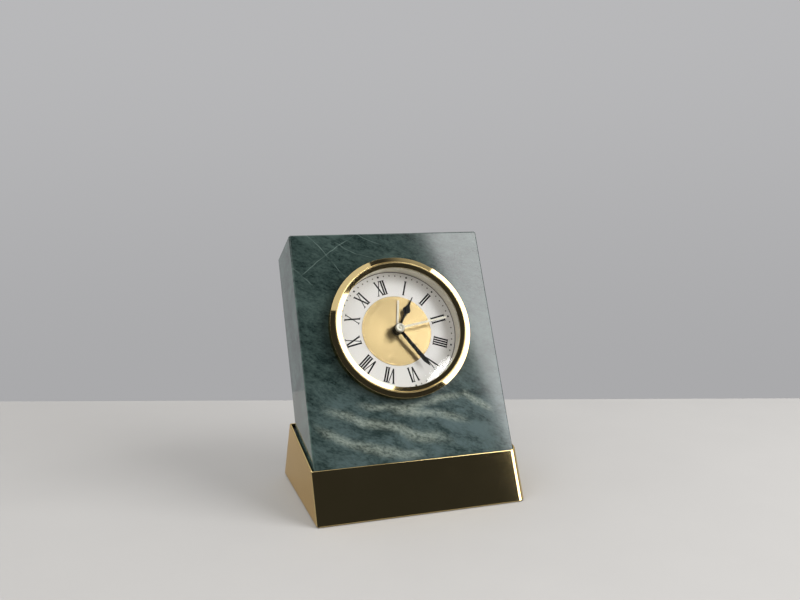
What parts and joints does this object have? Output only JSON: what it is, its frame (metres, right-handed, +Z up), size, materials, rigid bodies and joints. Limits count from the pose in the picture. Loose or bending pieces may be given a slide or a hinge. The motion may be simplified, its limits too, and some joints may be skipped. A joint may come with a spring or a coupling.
{
  "type": "marble table clock",
  "caption": "Leaning polished stone block in a gold metal base, with a round push-fit quartz alarm clock in its face.",
  "frame": {"origin": "centre of the clock's bounding box, on the table", "axes": "+X to the viewer's right, +Y to the back, +Z up; the dial faces -Y and up"},
  "size_m": [0.13, 0.1146, 0.16],
  "materials": {
    "marble": "polished",
    "gold": "mirror polished",
    "brushed_gold": "radially brushed",
    "black_core": "matt black paint",
    "pad": "matt foam",
    "grip_rubber": "matt",
    "clear": "polished",
    "dial_white": "satin",
    "hand_black": "gloss black",
    "hand_cream": "satin",
    "black_plastic": "fine matt",
    "white_plastic": "satin",
    "steel": "plain",
    "brass": "satin",
    "copper": "enamelled wire",
    "board": "solder mask",
    "battery_wrap": "satin wrap"
  },
  "bodies": {
    "base": {"marble_slab": "marble", "base_shell": "gold", "slab_cradle": "black_core", "foot_pad": "pad"},
    "grip": {"fit_ring": "grip_rubber"},
    "insert": {"bezel": "gold", "lens": "clear", "dial_ring": "gold", "dial_plate": "dial_white", "dial_centre": "brushed_gold", "case_body": "black_plastic", "rear_cover": "black_plastic", "cover_screw_1": "steel", "cover_screw_2": "steel", "cover_screw_3": "steel", "train_bridge": "white_plastic", "bridge_screw_1": "steel", "bridge_screw_2": "steel", "bridge_screw_3": "steel", "stator": "steel", "coil_core": "steel", "coil_winding": "copper", "circuit_board": "board", "crystal_can": "steel", "buzzer": "black_plastic", "battery": "battery_wrap", "contact_positive": "steel", "contact_negative": "steel"},
    "seconds": {"second_wheel": "white_plastic", "second_hand": "hand_cream"},
    "third": {"third_wheel": "white_plastic"},
    "centre": {"centre_wheel": "brass"},
    "intermediate": {"intermediate_wheel": "white_plastic"},
    "motor_rotor": {"rotor": "steel"},
    "minutes": {"cannon_pinion": "brass", "minute_hand": "hand_black"},
    "hours": {"hour_wheel": "white_plastic", "hour_hand": "hand_black"},
    "minute_work": {"minute_work_wheel": "white_plastic"},
    "time_setting": {"time_set_arbor": "white_plastic", "time_set_knob": "black_plastic"},
    "alarm": {"alarm_wheel": "white_plastic", "alarm_hand": "hand_cream"},
    "alarm_setting": {"alarm_set_arbor": "white_plastic", "alarm_set_knob": "black_plastic"},
    "alarm_slider": {"alarm_switch": "white_plastic"},
    "door": {"battery_door": "black_plastic"}
  },
  "joints": [
    {"name": "insert_pull", "type": "slide", "parent": "base", "child": "grip", "axis": [0, -0.9063, 0.4226], "range_m": [0, 0.045]},
    {"name": "insert_turn", "type": "hinge", "parent": "grip", "child": "insert", "pos_m": [0, -0.00829, 0.10232], "axis": [0, -0.9063, 0.4226], "continuous": true},
    {"name": "second_turn", "type": "hinge", "parent": "insert", "child": "seconds", "pos_m": [0, -0.00829, 0.10232], "axis": [0, -0.9063, 0.4226], "continuous": true},
    {"name": "third_turn", "type": "hinge", "parent": "insert", "child": "third", "pos_m": [0.00779, -0.00624, 0.10673], "axis": [0, -0.9063, 0.4226], "continuous": true},
    {"name": "centre_turn", "type": "hinge", "parent": "insert", "child": "centre", "pos_m": [0, -0.00829, 0.10232], "axis": [0, -0.9063, 0.4226], "continuous": true},
    {"name": "intermediate_turn", "type": "hinge", "parent": "insert", "child": "intermediate", "pos_m": [-0.00927, -0.00774, 0.1035], "axis": [0, -0.9063, 0.4226], "continuous": true},
    {"name": "rotor_turn", "type": "hinge", "parent": "insert", "child": "motor_rotor", "pos_m": [-0.01433, -0.00537, 0.10859], "axis": [0, -0.9063, 0.4226], "continuous": true},
    {"name": "minute_turn", "type": "hinge", "parent": "insert", "child": "minutes", "pos_m": [0, -0.00829, 0.10232], "axis": [0, -0.9063, 0.4226], "continuous": true},
    {"name": "hour_turn", "type": "hinge", "parent": "insert", "child": "hours", "pos_m": [0, -0.00829, 0.10232], "axis": [0, -0.9063, 0.4226], "continuous": true},
    {"name": "minute_work_turn", "type": "hinge", "parent": "insert", "child": "minute_work", "pos_m": [0.00636, -0.00972, 0.09926], "axis": [0, -0.9063, 0.4226], "continuous": true},
    {"name": "time_set_turn", "type": "hinge", "parent": "insert", "child": "time_setting", "pos_m": [0.01444, -0.00948, 0.09977], "axis": [0, -0.9063, 0.4226], "continuous": true},
    {"name": "alarm_turn", "type": "hinge", "parent": "insert", "child": "alarm", "pos_m": [0, -0.00829, 0.10232], "axis": [0, -0.9063, 0.4226], "continuous": true},
    {"name": "alarm_set_turn", "type": "hinge", "parent": "insert", "child": "alarm_setting", "pos_m": [-0.00786, -0.0115, 0.09545], "axis": [0, -0.9063, 0.4226], "continuous": true},
    {"name": "alarm_switch_slide", "type": "slide", "parent": "insert", "child": "alarm_slider", "axis": [0.9781, 0.0879, 0.1884], "range_m": [0, 0.004]},
    {"name": "battery_door_lift", "type": "slide", "parent": "insert", "child": "door", "axis": [0, 0.9063, -0.4226], "range_m": [0, 0.02]}
  ],
  "couplings": [
    {"joint": "third_turn", "follows": "second_turn", "ratio": -0.13333},
    {"joint": "centre_turn", "follows": "second_turn", "ratio": 0.016667},
    {"joint": "intermediate_turn", "follows": "second_turn", "ratio": -5},
    {"joint": "rotor_turn", "follows": "second_turn", "ratio": 30},
    {"joint": "minute_work_turn", "follows": "minute_turn", "ratio": -0.33333},
    {"joint": "hour_turn", "follows": "minute_turn", "ratio": 0.083333},
    {"joint": "time_set_turn", "follows": "minute_turn", "ratio": 0.66667},
    {"joint": "alarm_set_turn", "follows": "alarm_turn", "ratio": -1.3333}
  ]
}
